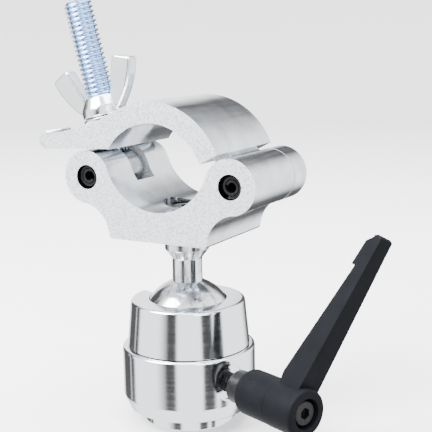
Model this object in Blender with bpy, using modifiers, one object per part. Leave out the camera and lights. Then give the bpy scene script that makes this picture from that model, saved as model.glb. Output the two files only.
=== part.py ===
"""Tube clamp on a lockable ball head.

A half coupler for a 48 to 51 mm tube stands on a ball stud. The ball turns in a round
housing and is locked by a side lever. The origin is the centre of the housing's flat
bottom, +Z is up, the tube runs along Y and the wing bolt is on the -X side.
"""
import math

import bmesh
import bpy
from mathutils import Matrix, Vector

# ---------------------------------------------------------------- driving dimensions
GAP = 0.0003                      # play kept between touching pieces

BORE_Z = 0.1212                   # height of the tube's centre
BORE_R = 0.0255                   # bore for a 51 mm tube
CLAMP_WIDTH = 0.048               # length of the clamp along the tube
PIN_X = 0.0345                    # pins left and right of the tube's centre
PIN_DROP = 0.0127                 # pins below the tube's centre
PIN_R = 0.0049                    # spring pins, 10 mm nominal
EAR_R = 0.0114                    # round ears and hinge lugs
BASE_DROP = 0.0383                # flat underside of the saddle below the tube's centre
BASE_HALF = 0.0237                # half the width of that underside
FLANK_R = 0.0141                  # concave flanks between the ears and the underside
KNUCKLE_HALF = 0.0125             # half the width of the hinge's centre knuckle
SLOT_HALF = 0.0068                # half the width of the slots that the bolt swings in

JAW_CX = -0.0020                  # centre of the jaw's arc while the clamp is shut
JAW_DROP = 0.0138
JAW_IN_R = 0.0250
JAW_OUT_R = 0.0339
TONGUE_END = -0.0594              # tip of the forked tongue
SLOT_ROOT = -0.0290               # closed end of the tongue's slot

BOLT_LEAN = math.radians(15.0)    # the bolt leans outwards, square to the tongue
BOLT_R = 0.00630                  # 1/2 inch thread, over its crests
BOLT_LENGTH = 0.0763              # from the eye's centre to the tip
EYE_R = 0.0094
EYE_HALF = 0.0062
SEAT_D = 0.0222                   # washer's underside from the eye's centre
WASHER_R = 0.0100
WASHER_T = 0.0020
NUT_D = SEAT_D + WASHER_T + GAP   # nut's underside from the eye's centre
NUT_H = 0.0094
NUT_R = 0.0099
NUT_TURN = math.radians(6.0)

BALL_Z = 0.0432
BALL_R = 0.0199
STEM_R = 0.00655
FLANGE_R = 0.0097
SADDLE_SCREW_R = 0.0040
RECESS_R = 0.0098                 # counterbore in the saddle for the screw's head

HOUSING_R = 0.0292
HOUSING_BOTTOM = 0.0064
HOUSING_TOP = 0.0337
HOUSING_BORE_R = 0.0205
CAP_BOTTOM_R = 0.0268
CAP_TOP_R = 0.0250
CAP_TOP = 0.0541
CAP_MOUTH_R = 0.0171
PLUG_R = 0.0201
PLUG_THREAD_R = 0.0044            # tapped hole in the base, M10
SEAT_R = 0.0202                   # outside of the two ball seats' common sphere
NOTCH_HALF = 0.0072               # drop notch that the stem lies down in

LEVER_AZIMUTH = math.radians(-21.5)
LEVER_Z = 0.0225
STUD_R = 0.0040                   # M8 locking screw
COLLAR_R = 0.0071
HUB_R = 0.0096
COLLAR_D = 0.0338                 # distances along the lever's axis from the ball's axis
HUB_D = 0.0412
HEAD_D = 0.0593
LEVER_END_D = 0.0745
ARM_D = 0.0695                    # where the arm's outer face meets the lever's axis
ARM_LENGTH = 0.0755
ARM_HALF = 0.00575                # half the arm's width at its root
ARM_TAPER = 0.030                 # narrowing of that half-width along the arm
ARM_ROOT_DEPTH = 0.0128
ARM_DEPTH_TAPER = 0.119
ARM_TURN = math.radians(25.8)     # arm swung sideways from upright
ARM_FLARE = math.radians(12.5)    # arm inclined away from the housing

# ---------------------------------------------------------------- scene set-up
for old in list(bpy.data.objects):
    bpy.data.objects.remove(old, do_unlink=True)

PARTS = bpy.data.collections.new("pipe_clamp")
CUTTERS = bpy.data.collections.new("cutters")
bpy.context.scene.collection.children.link(PARTS)
bpy.context.scene.collection.children.link(CUTTERS)


def material(name, colour, metallic, roughness):
    mat = bpy.data.materials.new(name)
    mat.use_nodes = True
    shader = mat.node_tree.nodes["Principled BSDF"]
    shader.inputs["Base Color"].default_value = (*colour, 1.0)
    shader.inputs["Metallic"].default_value = metallic
    shader.inputs["Roughness"].default_value = roughness
    return mat


SAWN = material("sawn_aluminium", (0.80, 0.81, 0.83), 0.9, 0.38)
POLISHED = material("polished_aluminium", (0.88, 0.89, 0.90), 1.0, 0.08)
CHROME = material("chromed_steel", (0.85, 0.86, 0.87), 1.0, 0.06)
BLUE_ZINC = material("blue_zinc", (0.55, 0.68, 0.88), 1.0, 0.22)
BRIGHT_ZINC = material("bright_zinc", (0.82, 0.86, 0.88), 1.0, 0.16)
BLACK_STEEL = material("black_steel", (0.030, 0.030, 0.033), 0.6, 0.42)
CHARCOAL = material("charcoal_coat", (0.055, 0.057, 0.062), 0.0, 0.45)
NYLON = material("nylon", (0.80, 0.79, 0.74), 0.0, 0.5)
BRASS = material("brass", (0.80, 0.62, 0.28), 1.0, 0.3)


# ---------------------------------------------------------------- shape tools
def register(obj, collection, mat=None):
    for owner in list(obj.users_collection):
        owner.objects.unlink(obj)
    collection.objects.link(obj)
    if collection is CUTTERS:
        obj.hide_render = True
        obj.display_type = "WIRE"
    if mat is not None:
        obj.data.materials.clear()
        obj.data.materials.append(mat)
    return obj


def smooth(obj, angle=30.0):
    obj.data.shade_smooth()
    obj.data.set_sharp_from_angle(angle=math.radians(angle))


def apply_modifiers(obj):
    """Bake the modifiers and the transform into the mesh, so later cuts act on it."""
    bpy.context.view_layer.update()
    graph = bpy.context.evaluated_depsgraph_get()
    mesh = bpy.data.meshes.new_from_object(obj.evaluated_get(graph))
    mesh.transform(obj.matrix_world)
    obj.modifiers.clear()
    obj.parent = None
    obj.matrix_world = Matrix.Identity(4)
    obj.data = mesh
    return obj


def weld(obj, distance=0.000004):
    """Close up the hair-thin slivers that a cut can leave."""
    shape = bmesh.new()
    shape.from_mesh(obj.data)
    bmesh.ops.remove_doubles(shape, verts=shape.verts, dist=distance)
    bmesh.ops.dissolve_degenerate(shape, dist=0.000001, edges=shape.edges)
    shape.to_mesh(obj.data)
    shape.free()
    return obj


def cylinder(name, radius, start, end, segments=32, collection=CUTTERS, mat=None):
    """A round bar between two points."""
    start, end = Vector(start), Vector(end)
    mesh = bpy.data.meshes.new(name)
    shape = bmesh.new()
    bmesh.ops.create_cone(shape, cap_ends=True, segments=segments, radius1=radius,
                          radius2=radius, depth=(end - start).length)
    shape.to_mesh(mesh)
    shape.free()
    obj = bpy.data.objects.new(name, mesh)
    obj.rotation_euler = (end - start).to_track_quat("Z", "Y").to_euler()
    obj.location = (start + end) / 2
    collection.objects.link(obj)
    register(obj, collection, mat)
    return apply_modifiers(obj)


def turned(name, profile, steps=48, collection=PARTS, mat=None):
    """A solid of revolution about Z; the closed profile is (radius, height) pairs that
    run down the outside first."""
    mesh = bpy.data.meshes.new(name)
    points = [(radius, 0.0, height) for radius, height in profile]
    closed = all(radius > 1e-7 for radius, _ in profile)
    edges = [(i, i + 1) for i in range(len(points) - 1)]
    if closed:
        edges.append((len(points) - 1, 0))
    mesh.from_pydata(points, edges, [])
    obj = bpy.data.objects.new(name, mesh)
    collection.objects.link(obj)
    screw = obj.modifiers.new("turn", "SCREW")
    screw.steps = steps
    screw.render_steps = steps
    screw.use_merge_vertices = True
    screw.merge_threshold = 0.00001
    screw.use_smooth_shade = True
    register(obj, collection, mat)
    return apply_modifiers(obj)


def plate(name, outline, half_width, holes=(), collection=PARTS, mat=None):
    """An outline in the XZ plane, extruded by half_width each way along Y."""
    curve = bpy.data.curves.new(name, "CURVE")
    curve.dimensions = "2D"
    curve.fill_mode = "BOTH"
    curve.extrude = half_width
    for loop in (outline, *holes):
        spline = curve.splines.new("POLY")
        spline.points.add(len(loop) - 1)
        for point, (x, z) in zip(spline.points, loop):
            point.co = (x, z, 0.0, 1.0)
        spline.use_cyclic_u = True
    flat = bpy.data.objects.new(name + "_outline", curve)
    flat.rotation_euler = (math.radians(90.0), 0.0, 0.0)
    bpy.context.scene.collection.objects.link(flat)
    bpy.context.view_layer.update()
    graph = bpy.context.evaluated_depsgraph_get()
    mesh = bpy.data.meshes.new_from_object(flat.evaluated_get(graph))
    mesh.transform(flat.matrix_world)
    bpy.data.objects.remove(flat, do_unlink=True)
    shape = bmesh.new()
    shape.from_mesh(mesh)
    bmesh.ops.remove_doubles(shape, verts=shape.verts, dist=0.000001)
    bmesh.ops.recalc_face_normals(shape, faces=shape.faces)
    shape.to_mesh(mesh)
    shape.free()
    mesh.materials.clear()
    obj = bpy.data.objects.new(name, mesh)
    collection.objects.link(obj)
    return register(obj, collection, mat)


def boolean(obj, other, operation):
    cut = obj.modifiers.new(other.name, "BOOLEAN")
    cut.operation = operation
    cut.solver = "EXACT"
    cut.object = other
    return obj


def cut_away(obj, *cutters):
    for cutter in cutters:
        boolean(obj, cutter, "DIFFERENCE")
    return weld(apply_modifiers(obj))


def join_on(obj, *extras):
    for extra in extras:
        boolean(obj, extra, "UNION")
    return weld(apply_modifiers(obj))


def bevel(obj, width, segments=2, angle=35.0):
    edge = obj.modifiers.new("bevel", "BEVEL")
    edge.width = width
    edge.segments = segments
    edge.limit_method = "ANGLE"
    edge.angle_limit = math.radians(angle)
    edge.harden_normals = False
    return apply_modifiers(obj)


def arc(cx, cz, radius, start, end, count):
    """Points on an arc from start to end, in degrees."""
    angles = [math.radians(start + (end - start) * i / count) for i in range(count + 1)]
    return [(cx + radius * math.cos(a), cz + radius * math.sin(a)) for a in angles]


def circle(cx, cz, radius, count):
    return arc(cx, cz, radius, 0.0, 360.0, count)[:-1]


def pivot(name, location, axis=(0.0, 0.0, 1.0), parent=None):
    """An empty whose Z lies on a joint's axis."""
    empty = bpy.data.objects.new(name, None)
    empty.empty_display_size = 0.01
    PARTS.objects.link(empty)
    empty.rotation_euler = Vector(axis).to_track_quat("Z", "Y").to_euler()
    empty.location = location
    bpy.context.view_layer.update()
    attach(empty, parent)
    return empty


def attach(obj, parent):
    """Parent an object without moving it."""
    if parent is None:
        return obj
    bpy.context.view_layer.update()
    world = obj.matrix_world.copy()
    obj.parent = parent
    obj.matrix_parent_inverse = Matrix.Identity(4)
    obj.matrix_basis = parent.matrix_world.inverted() @ world
    return obj


def finish(obj, parent=None, angle=30.0):
    smooth(obj, angle)
    attach(obj, parent)
    return obj


# ---------------------------------------------------------------- places and directions
BALL = Vector((0.0, 0.0, BALL_Z))
LEVER_DIR = Vector((math.cos(LEVER_AZIMUTH), math.sin(LEVER_AZIMUTH), 0.0))
LEVER_SIDE = Vector((-LEVER_DIR.y, LEVER_DIR.x, 0.0))
LEFT_PIN = Vector((-PIN_X, 0.0, BORE_Z - PIN_DROP))
RIGHT_PIN = Vector((PIN_X, 0.0, BORE_Z - PIN_DROP))
BOLT_DIR = Vector((-math.sin(BOLT_LEAN), 0.0, math.cos(BOLT_LEAN)))
HALF = CLAMP_WIDTH / 2


def on_lever(distance):
    """A point on the lever's axis."""
    return LEVER_DIR * distance + Vector((0.0, 0.0, LEVER_Z))


def on_bolt(distance):
    """A point on the swing bolt's axis, from the eye's centre."""
    return LEFT_PIN + BOLT_DIR * distance


def lay(obj, origin, direction):
    """Move an object made about Z so that it stands on origin along direction."""
    turn = Vector(direction).to_track_quat("Z", "Y").to_matrix().to_4x4()
    obj.data.transform(Matrix.Translation(origin) @ turn)
    return obj


# ---------------------------------------------------------------- housing
def make_housing():
    """Lower body: a thick tube with a bevelled foot and a rounded shoulder."""
    shoulder = [(HOUSING_R - 0.0016 + dx, HOUSING_TOP - 0.0022 + dz)
                for dx, dz in reversed(arc(0.0, 0.0, 0.0016, 0.0, 90.0, 4))]
    profile = [(HOUSING_R - 0.0030, HOUSING_TOP), *shoulder,
               (HOUSING_R, 0.0128), (HOUSING_R - 0.0004, 0.0118), (0.0272, HOUSING_BOTTOM + 0.0004),
               (0.0268, HOUSING_BOTTOM), (0.0178, HOUSING_BOTTOM), (0.0178, 0.0112),
               (HOUSING_BORE_R, 0.0112), (HOUSING_BORE_R, 0.0275), (0.0240, 0.0275),
               (0.0240, HOUSING_TOP)]
    housing = turned("housing", profile, steps=48, mat=POLISHED)
    spot = cylinder("cut_spot_face", 0.0079, on_lever(0.0272), on_lever(0.0330))
    hole = cylinder("cut_lever_hole", STUD_R + GAP, on_lever(0.0180), on_lever(0.0300), 24)
    return finish(cut_away(housing, spot, hole))


def make_base_plug():
    """Bottom ring, screwed into the body, with the tapped hole that holds the head."""
    profile = [(0.0174, 0.0116), (0.0174, HOUSING_BOTTOM - GAP), (PLUG_R - 0.0004, HOUSING_BOTTOM - GAP),
               (PLUG_R, HOUSING_BOTTOM - 0.0007), (PLUG_R, 0.0006), (PLUG_R - 0.0006, 0.0),
               (PLUG_THREAD_R + 0.0008, 0.0), (PLUG_THREAD_R, 0.0008), (PLUG_THREAD_R, 0.0116)]
    return finish(turned("base_plug", profile, steps=40, mat=POLISHED))


def make_disc_spring():
    """Coned spring washer that keeps the lower seat on the ball."""
    profile = [(0.0120, 0.0136), (0.0176, 0.0128), (0.0176, 0.0119), (0.0120, 0.0127)]
    return finish(turned("disc_spring", profile, steps=28, mat=BLACK_STEEL))


def sphere_points(radius, low, high, count):
    """Profile points of the ball's sphere between two heights above its centre."""
    first, last = math.degrees(math.asin(low / radius)), math.degrees(math.asin(high / radius))
    return arc(0.0, BALL_Z, radius, first, last, count)


def make_lower_seat():
    """Cup under the ball, with a conical dimple that the locking screw's pad pushes on."""
    bowl = sphere_points(SEAT_R, -0.0185, -0.0095, 6)
    profile = [(0.0201, 0.0337), (0.0201, 0.0145), (0.0195, 0.0140), (0.0060, 0.0140),
               (0.0060, bowl[0][1] - 0.0010), *bowl]
    seat = turned("lower_seat", profile, steps=32, mat=BRASS)
    cone = bpy.data.meshes.new("cut_dimple")
    shape = bmesh.new()
    bmesh.ops.create_cone(shape, cap_ends=True, segments=24, radius1=0.0012, radius2=0.0052, depth=0.0060)
    shape.to_mesh(cone)
    shape.free()
    dimple = register(bpy.data.objects.new("cut_dimple", cone), CUTTERS)
    lay(dimple, on_lever(0.0184), LEVER_DIR)
    return finish(cut_away(seat, dimple))


def notch_cutter(name):
    """Round-bottomed slot from the ball's centre out through the cap, away from the lever."""
    outline = [*arc(0.0, 0.0, NOTCH_HALF, 180.0, 360.0, 14), (NOTCH_HALF, 0.0300), (-NOTCH_HALF, 0.0300)]
    slot = plate(name, outline, 0.0200, collection=CUTTERS)
    slot.data.transform(Matrix.Translation((0.0, 0.0200, 0.0)))
    turn = Matrix.Rotation(LEVER_AZIMUTH + math.radians(90.0), 4, "Z")
    slot.data.transform(Matrix.Translation(BALL) @ turn)
    return slot


def make_cap():
    """Upper, slightly conical shell that holds the ball down, open at the top."""
    rim = [(CAP_TOP_R - 0.0014 + dx, CAP_TOP - 0.0014 + dz)
           for dx, dz in reversed(arc(0.0, 0.0, 0.0014, 5.0, 90.0, 4))]
    profile = [*rim, (CAP_BOTTOM_R, 0.0349), (CAP_BOTTOM_R - 0.0006, HOUSING_TOP + GAP),
               (0.0237, HOUSING_TOP + GAP), (0.0237, 0.0285), (0.0232, 0.0279), (0.0210, 0.0279),
               (0.0205, 0.0285), (0.0205, 0.0350), (0.0205, 0.0462), (0.0218, 0.0462),
               (0.0218, 0.0512), (0.0187, 0.0512), (0.0176, 0.0532), (CAP_MOUTH_R, CAP_TOP)]
    cap = turned("cap", profile, steps=48, mat=POLISHED)
    return finish(cut_away(cap, notch_cutter("cut_cap_notch")))


def make_upper_seat():
    """Bearing ring above the ball's equator, split where the stem drops."""
    bowl = sphere_points(SEAT_R, 0.0034, 0.0077, 4)
    profile = [(0.0214, 0.0509), (0.0214, 0.0466), *bowl]
    seat = turned("upper_seat", profile, steps=40, mat=NYLON)
    return finish(cut_away(seat, notch_cutter("cut_seat_notch")))


# ---------------------------------------------------------------- ball stud
def make_ball_stud():
    """Ball, stem and conical flange in one piece, tapped at the top."""
    flange_top = BORE_Z - BASE_DROP - GAP
    neck = math.sqrt(BALL_R ** 2 - STEM_R ** 2)
    ball = arc(0.0, BALL_Z, BALL_R, math.degrees(math.asin(neck / BALL_R)), -90.0, 13)
    ball[-1] = (0.0, BALL_Z - BALL_R)
    hole_bottom = 0.0660
    hole_r = SADDLE_SCREW_R + GAP
    profile = [(hole_r, flange_top), (FLANGE_R - 0.0004, flange_top), (FLANGE_R, flange_top - 0.0004),
               (FLANGE_R, 0.0765), (FLANGE_R - 0.0004, 0.0760), (STEM_R, 0.0722), *ball]
    bore = [(0.0, hole_bottom), (hole_r, hole_bottom + 0.0020)]
    mesh = bpy.data.meshes.new("ball_stud")
    points = [(radius, 0.0, height) for radius, height in [*bore, *profile]]
    mesh.from_pydata(points, [(i, i + 1) for i in range(len(points) - 1)], [])
    stud = bpy.data.objects.new("ball_stud", mesh)
    PARTS.objects.link(stud)
    screw = stud.modifiers.new("turn", "SCREW")
    screw.steps = 36
    screw.render_steps = 36
    screw.use_merge_vertices = True
    screw.merge_threshold = 0.00001
    register(stud, PARTS, CHROME)
    return finish(apply_modifiers(stud), TILT)


# ---------------------------------------------------------------- clamp
def ear_outline(side):
    """One side of the saddle's outline, from the underside round the ear to the bore;
    side is +1 for the hinge side and -1 for the bolt side."""
    pin_z = BORE_Z - PIN_DROP
    flank_x = BASE_HALF + FLANK_R
    flank_z = BORE_Z - BASE_DROP + 0.0004
    to_ear = math.degrees(math.atan2(pin_z - flank_z, PIN_X - flank_x))
    flank = arc(flank_x, flank_z, FLANK_R, 178.0, to_ear, 9)
    ear = arc(PIN_X, pin_z, EAR_R, to_ear - 180.0, 160.0, 18)
    bore_start = math.degrees(math.asin(-0.0118 / BORE_R))
    points = [(BASE_HALF - 0.0008, BORE_Z - BASE_DROP), *flank, *ear[1:]]
    return [(side * x, z) for x, z in points], bore_start


def make_saddle():
    """Lower jaw: half bore, two ears, a hinge fork, a bolt slot and a screw recess."""
    right, bore_start = ear_outline(1.0)
    left, _ = ear_outline(-1.0)
    bore = arc(0.0, BORE_Z, BORE_R, bore_start, -180.0 - bore_start, 30)
    outline = [*right, *bore, *reversed(left)]
    holes = [circle(side * PIN_X, BORE_Z - PIN_DROP, PIN_R + GAP, 28) for side in (1.0, -1.0)]
    saddle = plate("saddle", outline, HALF, holes, mat=SAWN)
    hinge_r = EAR_R + 0.0007
    cutters = [
        cylinder("cut_fork", hinge_r, RIGHT_PIN - Vector((0, KNUCKLE_HALF, 0)),
                 RIGHT_PIN + Vector((0, KNUCKLE_HALF, 0)), 40),
        cylinder("cut_bolt_slot", 0.0146, LEFT_PIN - Vector((0, SLOT_HALF, 0)),
                 LEFT_PIN + Vector((0, SLOT_HALF, 0)), 40),
        cylinder("cut_recess", RECESS_R, (0, 0, BORE_Z - 0.0334), (0, 0, BORE_Z), 36),
        cylinder("cut_screw_hole", SADDLE_SCREW_R + GAP, (0, 0, BORE_Z - 0.0450), (0, 0, BORE_Z - 0.030), 24),
    ]
    return finish(cut_away(saddle, *cutters), CLAMP)


def make_saddle_screw():
    """Low-head socket screw from the recess into the ball stud."""
    head_low = BORE_Z - 0.0313
    head_top = BORE_Z - 0.0262
    profile = [(0.0023, head_low + 0.0018), (0.0023, head_top), (0.0060, head_top), (0.0066, head_top - 0.0006),
               (0.0066, head_low), (SADDLE_SCREW_R, head_low), (SADDLE_SCREW_R, 0.0686),
               (SADDLE_SCREW_R - 0.0008, 0.0678), (0.0, 0.0678)]
    mesh = bpy.data.meshes.new("saddle_screw")
    points = [(0.0, 0.0, head_low + 0.0010), *[(r, 0.0, z) for r, z in profile]]
    mesh.from_pydata(points, [(i, i + 1) for i in range(len(points) - 1)], [])
    screw_obj = bpy.data.objects.new("saddle_screw", mesh)
    PARTS.objects.link(screw_obj)
    turn = screw_obj.modifiers.new("turn", "SCREW")
    turn.steps = 30
    turn.render_steps = 30
    turn.use_merge_vertices = True
    turn.merge_threshold = 0.00001
    register(screw_obj, PARTS, BLACK_STEEL)
    return finish(apply_modifiers(screw_obj), CLAMP)


def make_lock_washer():
    """Flat washer between the recess and the screw's head."""
    low = BORE_Z - 0.0334 + GAP
    high = BORE_Z - 0.0313 - GAP
    profile = [(0.0084, high), (0.0084, low), (SADDLE_SCREW_R + GAP, low), (SADDLE_SCREW_R + GAP, high)]
    return finish(turned("lock_washer", profile, steps=36, mat=BRIGHT_ZINC), CLAMP)


def coil_outline(centre, turns_start, count=40):
    """Outline of a coiled spring pin: a strip rolled up by one and three quarter turns."""
    strip = 0.00105
    step = strip + GAP
    total = math.radians(630.0)
    outer, inner = [], []
    for i in range(count + 1):
        angle = total * i / count
        radius = PIN_R - step * angle / (2 * math.pi)
        turn = turns_start + angle
        outer.append((centre.x + radius * math.cos(turn), centre.z + radius * math.sin(turn)))
        inner.append((centre.x + (radius - strip) * math.cos(turn), centre.z + (radius - strip) * math.sin(turn)))
    return [*outer, *reversed(inner)]


def make_spring_pin(name, centre, start_degrees, parent):
    outline = coil_outline(centre, math.radians(start_degrees))
    pin = plate(name, outline, HALF - 0.0016, mat=BLACK_STEEL)
    return finish(pin, parent)


def jaw_arc_points():
    """Angles, in degrees, where the jaw's outer arc starts and ends."""
    start = math.degrees(math.atan2(-0.0001 + JAW_DROP, 0.0292 - JAW_CX))
    return start, 112.0


def make_upper_jaw():
    """Hinged jaw: curved bridge, forked tongue with an end lip, and a hinge knuckle."""
    cx, cz = JAW_CX, BORE_Z - JAW_DROP
    start, end = jaw_arc_points()
    outer = arc(cx, cz, JAW_OUT_R, start, end, 24)
    tongue = [(-0.0213, BORE_Z + 0.0148), (-0.0270, BORE_Z + 0.0119), (-0.0420, BORE_Z + 0.0072),
              (-0.0549, BORE_Z + 0.0047), (-0.0552, BORE_Z + 0.0056),
              (-0.0559, BORE_Z + 0.0061)]
    tip_r = 0.0038
    tip = arc(TONGUE_END + tip_r, BORE_Z + 0.0023, tip_r, 105.0, 262.0, 9)
    under = [(-0.0234, BORE_Z - 0.0002)]
    inner = arc(cx, cz, JAW_IN_R, 148.0, 22.3, 26)
    outline = [*outer, *tongue, *tip, *under, *inner]
    jaw = plate("upper_jaw", outline, HALF, mat=SAWN)
    neck_half = KNUCKLE_HALF - GAP
    neck_outline = [(0.0190, BORE_Z - 0.0014), (0.0262, BORE_Z + 0.0010), (0.0290, BORE_Z - 0.0018),
                    (0.0330, BORE_Z - 0.0040), (0.0300, BORE_Z - 0.0150), (0.0234, BORE_Z - 0.0140),
                    (0.0228, BORE_Z - 0.0100), (0.0216, BORE_Z - 0.0046)]
    neck = plate("join_neck", neck_outline, neck_half, collection=CUTTERS)
    knuckle = cylinder("join_knuckle", EAR_R - 0.0001, RIGHT_PIN - Vector((0, neck_half, 0)),
                       RIGHT_PIN + Vector((0, neck_half, 0)), 44)
    join_on(jaw, neck, knuckle)
    mid = SLOT_ROOT - SLOT_HALF
    slot_outline = [*arc(mid, 0.0, SLOT_HALF, -90.0, 90.0, 14), (-0.0800, SLOT_HALF), (-0.0800, -SLOT_HALF)]
    slot = plate("cut_tongue_slot", slot_outline, 0.0300, collection=CUTTERS)
    slot.data.transform(Matrix.Translation((0.0, 0.0, BORE_Z)) @ Matrix.Rotation(math.radians(-90.0), 4, "X"))
    pin_hole = cylinder("cut_jaw_pin", PIN_R + GAP, RIGHT_PIN - Vector((0, 0.03, 0)),
                        RIGHT_PIN + Vector((0, 0.03, 0)), 28)
    return finish(cut_away(jaw, slot, pin_hole), JAW)


def make_swing_bolt():
    """Eye bolt that pivots on the left pin; the thread is left plain at crest size."""
    eye = cylinder("swing_bolt", EYE_R, LEFT_PIN - Vector((0, EYE_HALF, 0)), LEFT_PIN + Vector((0, EYE_HALF, 0)),
                   36, PARTS, BLUE_ZINC)
    shank_profile = [(0.0, BOLT_LENGTH), (BOLT_R - 0.0012, BOLT_LENGTH), (BOLT_R, BOLT_LENGTH - 0.0012),
                     (BOLT_R, 0.0075), (0.0, 0.0075)]
    mesh = bpy.data.meshes.new("join_shank")
    mesh.from_pydata([(r, 0.0, z) for r, z in shank_profile],
                     [(i, i + 1) for i in range(len(shank_profile) - 1)], [])
    shank = bpy.data.objects.new("join_shank", mesh)
    CUTTERS.objects.link(shank)
    turn = shank.modifiers.new("turn", "SCREW")
    turn.steps = 32
    turn.render_steps = 32
    turn.use_merge_vertices = True
    turn.merge_threshold = 0.00001
    register(shank, CUTTERS)
    apply_modifiers(shank)
    lay(shank, LEFT_PIN, BOLT_DIR)
    join_on(eye, shank)
    hole = cylinder("cut_eye", PIN_R + GAP, LEFT_PIN - Vector((0, 0.02, 0)), LEFT_PIN + Vector((0, 0.02, 0)), 28)
    return finish(cut_away(eye, hole), BOLT)


def make_washer():
    profile = [(WASHER_R, WASHER_T), (WASHER_R, 0.0), (BOLT_R + 0.0004, 0.0), (BOLT_R + 0.0004, WASHER_T)]
    washer = turned("washer", profile, steps=40, mat=BRIGHT_ZINC)
    lay(washer, on_bolt(SEAT_D), BOLT_DIR)
    return finish(washer, TRAVEL)


def wing_outline(side):
    """One wing, as (sideways, height above the nut's underside) pairs."""
    points = [(0.0080, 0.0010), (0.0108, 0.0022), (0.0142, 0.0055), (0.0175, 0.0092), (0.0208, 0.0143),
              (0.0228, 0.0186), (0.0234, 0.0204), (0.0222, 0.0216), (0.0152, 0.0242), (0.0138, 0.0238),
              (0.0113, 0.0176), (0.0094, 0.0128), (0.0078, 0.0092)]
    return [(side * s, h) for s, h in points]


def make_wing_nut():
    """Conical body with two wings and a through hole."""
    profile = [(0.0070, NUT_H), (0.0076, NUT_H - 0.0006), (NUT_R - 0.0004, 0.0038), (NUT_R, 0.0030),
               (NUT_R, 0.0010), (NUT_R - 0.0010, 0.0), (0.0052, 0.0), (0.0052, NUT_H)]
    nut = turned("wing_nut", profile, steps=36, mat=BRIGHT_ZINC)
    for side in (-1.0, 1.0):
        wing = plate("join_wing", wing_outline(side), 0.0028, collection=CUTTERS)
        bevel(wing, 0.0012, 2, 50.0)
        join_on(nut, wing)
    hole = cylinder("cut_nut_hole", BOLT_R + GAP, (0, 0, -0.01), (0, 0, 0.03), 32)
    cut_away(nut, hole)
    turn = Matrix.Rotation(-BOLT_LEAN, 4, "Y") @ Matrix.Rotation(-NUT_TURN, 4, "Z")
    nut.data.transform(Matrix.Translation(on_bolt(NUT_D)) @ turn)
    return finish(nut, NUT)


# ---------------------------------------------------------------- lever
def lever_round(name, profile, mat, steps=36, collection=PARTS):
    """A turned piece on the lever's axis; heights are distances from the ball's axis."""
    piece = turned(name, profile, steps=steps, collection=collection, mat=mat)
    lay(piece, on_lever(0.0), LEVER_DIR)
    return piece


def solid_round(name, profile, mat, steps=32):
    """A turned piece without a bore, on the lever's axis."""
    mesh = bpy.data.meshes.new(name)
    mesh.from_pydata([(r, 0.0, z) for r, z in profile], [(i, i + 1) for i in range(len(profile) - 1)], [])
    obj = bpy.data.objects.new(name, mesh)
    PARTS.objects.link(obj)
    turn = obj.modifiers.new("turn", "SCREW")
    turn.steps = steps
    turn.render_steps = steps
    turn.use_merge_vertices = True
    turn.merge_threshold = 0.00001
    register(obj, PARTS, mat)
    apply_modifiers(obj)
    lay(obj, on_lever(0.0), LEVER_DIR)
    return obj


def make_pressure_pad():
    """Cone-ended pad between the locking screw and the lower seat."""
    profile = [(0.0, 0.0212), (0.0032, 0.0212), (0.0036, 0.0208), (0.0036, 0.0202), (0.0014, 0.0172), (0.0, 0.0172)]
    return finish(solid_round("pressure_pad", profile, BRASS, 24), PAD)


def make_lever_stud():
    """Locking screw; its outer end is held in the collar."""
    profile = [(0.0, 0.0372), (STUD_R - 0.0006, 0.0372), (STUD_R, 0.0366), (STUD_R, 0.0222), (STUD_R - 0.0007, 0.0215),
               (0.0, 0.0215)]
    return finish(solid_round("lever_stud", profile, BLACK_STEEL, 28), LEVER)


def make_lever_collar():
    """Steel insert: the collar that carries the stud and the core inside the hub."""
    bore = STUD_R + GAP
    profile = [(0.0028, 0.0548), (0.0052, 0.0548), (0.0052, HUB_D - GAP), (COLLAR_R, HUB_D - GAP),
               (COLLAR_R, COLLAR_D + 0.0006), (COLLAR_R - 0.0006, COLLAR_D), (bore, COLLAR_D),
               (bore, 0.0378), (0.0028, 0.0378)]
    return finish(lever_round("lever_collar", profile, BLACK_STEEL, 32), LEVER)


def spline_outline(root, crest, teeth):
    """A serrated circle with straight-sided teeth."""
    points = []
    for i in range(teeth * 2):
        angle = math.pi * i / teeth
        radius = crest if i % 2 else root
        points.append((radius * math.cos(angle), radius * math.sin(angle)))
    return points


def spline_bar(name, root, crest, low, high):
    bar = plate(name, spline_outline(root, crest, 24), (high - low) / 2, collection=CUTTERS)
    bar.data.transform(Matrix.Rotation(math.radians(-90.0), 4, "X"))
    bar.data.transform(Matrix.Translation((0.0, 0.0, (high + low) / 2)))
    lay(bar, on_lever(0.0), LEVER_DIR)
    return bar


def make_lever_hub():
    """Sleeve round the insert, with a serrated socket for the handle's neck."""
    profile = [(HUB_R - 0.0002, HEAD_D - GAP), (HUB_R, HEAD_D - 0.0008), (HUB_R, HUB_D + 0.0014),
               (HUB_R - 0.0014, HUB_D), (0.0056, HUB_D), (0.0056, HEAD_D - GAP)]
    hub = lever_round("lever_hub", profile, CHARCOAL, 44)
    socket = spline_bar("cut_socket", 0.0069, 0.0076, 0.0551, 0.0620)
    return finish(cut_away(hub, socket), LEVER)


def arm_section(along, depth, inset=0.0, proud=0.0):
    """Cross-section of the arm, counted along it from the hub's axis, in the arm's own
    frame: sideways, away from the housing, along. The outer face lies on zero."""
    half = ARM_HALF - ARM_TAPER * along - inset
    return [Vector((-half, -depth - proud, along)), Vector((half, -depth - proud, along)),
            Vector((half, -inset, along)), Vector((-half, -inset, along))]


def arm_depth(along):
    """Depth of the arm's sides, from nearly the whole head at its root to thin at its tip."""
    return ARM_ROOT_DEPTH - ARM_DEPTH_TAPER * along


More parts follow.
